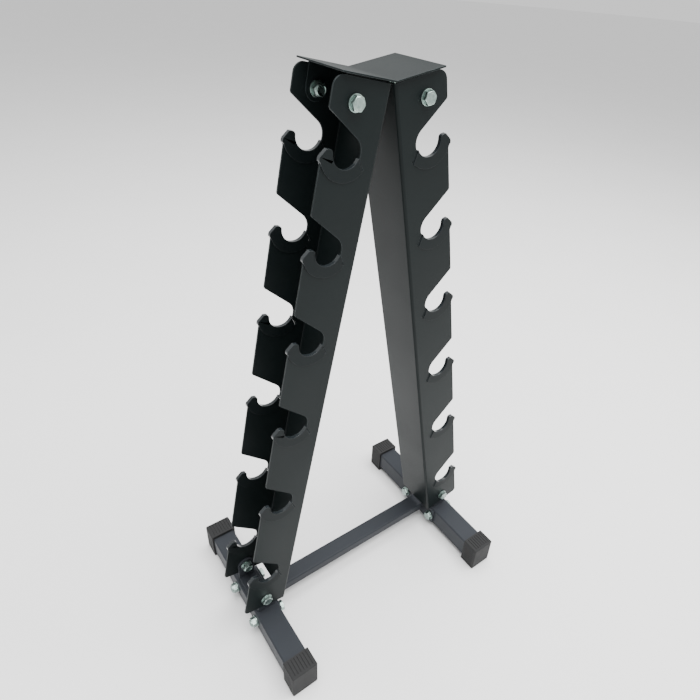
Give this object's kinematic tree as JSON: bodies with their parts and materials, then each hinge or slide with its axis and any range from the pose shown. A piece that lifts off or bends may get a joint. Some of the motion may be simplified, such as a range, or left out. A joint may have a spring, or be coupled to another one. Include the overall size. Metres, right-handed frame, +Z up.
{
  "type": "dumbbell rack",
  "caption": "Free-standing A-frame dumbbell rack: two leaning channel uprights with stepped hook seats under a folded top cap, on two tube feet with rubber caps and a crossbar.",
  "frame": {"origin": "on the floor, under the middle of the rack", "axes": "+Z up; +X across the rack from one foot to the other, to the right as seen from the front; -Y towards the front"},
  "size_m": [0.5968, 0.43, 1.1164],
  "materials": {
    "frame_paint": "satin charcoal powder coat",
    "foot_rubber": "matte ribbed black rubber",
    "liner_plastic": "satin black nylon",
    "zinc": "bright zinc plate"
  },
  "bodies": {
    "root": {"left_upright": "frame_paint", "right_upright": "frame_paint", "top_cap": "frame_paint", "left_foot": "frame_paint", "right_foot": "frame_paint", "left_saddle": "frame_paint", "right_saddle": "frame_paint", "crossbar": "frame_paint", "left_end_plate": "frame_paint", "right_end_plate": "frame_paint", "left_front_foot_cap": "foot_rubber", "left_rear_foot_cap": "foot_rubber", "right_front_foot_cap": "foot_rubber", "right_rear_foot_cap": "foot_rubber", "top_bolts": "zinc", "top_washers": "zinc", "top_nuts": "zinc", "saddle_bolts": "zinc", "saddle_washers": "zinc", "saddle_nuts": "zinc", "crossbar_bolts": "zinc", "crossbar_washers": "zinc", "crossbar_nuts": "zinc", "left_front_liner_1": "liner_plastic", "left_front_liner_2": "liner_plastic", "left_front_liner_3": "liner_plastic", "left_front_liner_4": "liner_plastic", "left_front_liner_5": "liner_plastic", "left_front_liner_6": "liner_plastic", "left_rear_liner_1": "liner_plastic", "left_rear_liner_2": "liner_plastic", "left_rear_liner_3": "liner_plastic", "left_rear_liner_4": "liner_plastic", "left_rear_liner_5": "liner_plastic", "left_rear_liner_6": "liner_plastic", "right_front_liner_1": "liner_plastic", "right_front_liner_2": "liner_plastic", "right_front_liner_3": "liner_plastic", "right_front_liner_4": "liner_plastic", "right_front_liner_5": "liner_plastic", "right_front_liner_6": "liner_plastic", "right_rear_liner_1": "liner_plastic", "right_rear_liner_2": "liner_plastic", "right_rear_liner_3": "liner_plastic", "right_rear_liner_4": "liner_plastic", "right_rear_liner_5": "liner_plastic", "right_rear_liner_6": "liner_plastic"}
  },
  "joints": []
}
